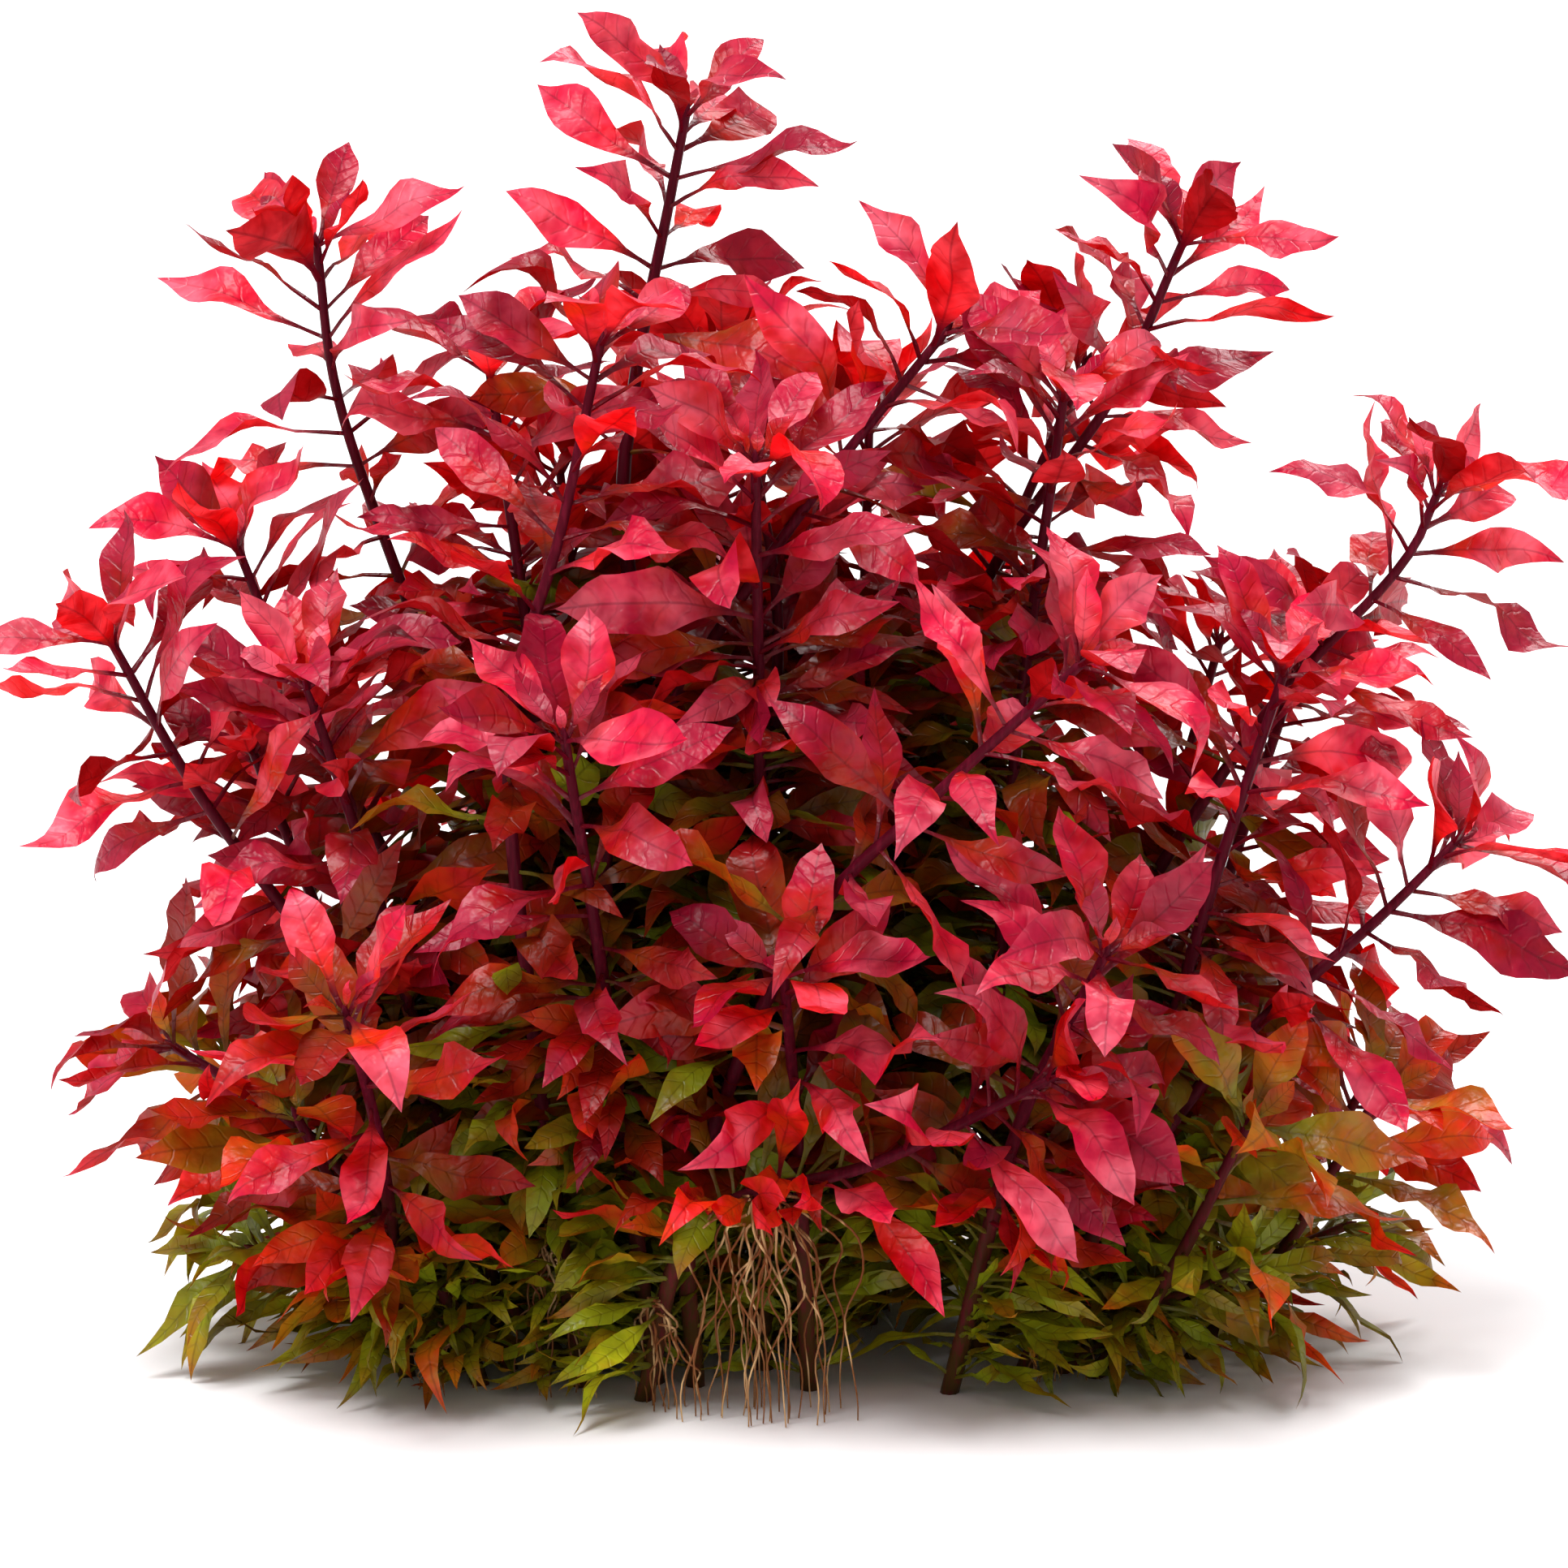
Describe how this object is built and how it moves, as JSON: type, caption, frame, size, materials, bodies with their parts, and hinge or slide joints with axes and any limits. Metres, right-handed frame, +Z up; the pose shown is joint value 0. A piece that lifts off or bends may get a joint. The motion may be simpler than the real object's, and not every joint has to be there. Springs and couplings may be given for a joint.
{
  "type": "red ludwigia clump",
  "caption": "Dense upright clump of red aquarium stem plants, with crimson lance-shaped leaves, orange and green lower leaves and thin thread roots, cut flat at the foot.",
  "frame": {"origin": "centre of the flat cut foot of the tallest shoot, in the middle of the clump at the surface it stands on", "axes": "+Z up, +X to the right as the picture shows the clump, the viewer at -Y"},
  "size_m": [0.2569, 0.1701, 0.2144],
  "materials": {
    "leaf_crimson": "satin crimson leaf, lighter and pinker where it catches the light, with a dark midrib",
    "leaf_orange": "satin orange to red leaf with olive patches and a dark midrib",
    "leaf_green": "satin yellow-green leaf, reddening towards its tip",
    "stem": "smooth dark maroon stem, browner and greener near the foot",
    "root": "matt tan thread roots"
  },
  "bodies": {
    "root": {"roots_back": "root", "roots_front_centre": "root", "roots_front_left": "root", "roots_front_middle": "root", "roots_left": "root", "roots_right": "root", "shoot_centre_inner": "leaf_crimson", "shoot_centre_right": "leaf_crimson", "shoot_front_arch": "leaf_orange", "shoot_front_corner": "leaf_orange", "shoot_front_left": "leaf_crimson", "shoot_front_middle": "leaf_orange", "shoot_front_right": "leaf_crimson", "shoot_ground_01": "leaf_green", "shoot_ground_02": "leaf_green", "shoot_ground_03": "leaf_green", "shoot_ground_04": "leaf_green", "shoot_ground_05": "leaf_green", "shoot_ground_06": "leaf_green", "shoot_ground_07": "leaf_green", "shoot_ground_08": "leaf_green", "shoot_left_corner": "leaf_orange", "shoot_left_low": "leaf_orange", "shoot_left_mid": "leaf_crimson", "shoot_left_side": "leaf_crimson", "shoot_left_top": "leaf_crimson", "shoot_right_inner": "leaf_crimson", "shoot_right_lower": "leaf_crimson", "shoot_right_skirt": "leaf_orange", "shoot_right_top": "leaf_crimson", "shoot_right_upper": "leaf_crimson", "shoot_shoulder_01": "leaf_crimson", "shoot_shoulder_02": "leaf_crimson", "shoot_shoulder_03": "leaf_crimson", "shoot_shoulder_04": "leaf_crimson", "shoot_shoulder_05": "leaf_crimson", "shoot_shoulder_06": "leaf_crimson", "shoot_shoulder_07": "leaf_crimson", "shoot_shoulder_08": "leaf_crimson", "shoot_shoulder_09": "leaf_crimson", "shoot_shoulder_11": "leaf_crimson", "shoot_skirt_01": "leaf_orange", "shoot_skirt_02": "leaf_orange", "shoot_skirt_03": "leaf_orange", "shoot_skirt_04": "leaf_orange", "shoot_skirt_05": "leaf_orange", "shoot_skirt_06": "leaf_orange", "shoot_skirt_07": "leaf_orange", "shoot_skirt_08": "leaf_orange", "shoot_tall_centre": "leaf_crimson", "shoot_upper_01": "leaf_crimson", "shoot_upper_02": "leaf_crimson", "shoot_upper_03": "leaf_crimson", "shoot_upper_04": "leaf_crimson", "shoot_upper_05": "leaf_crimson", "shoot_upper_06": "leaf_crimson"}
  },
  "joints": []
}
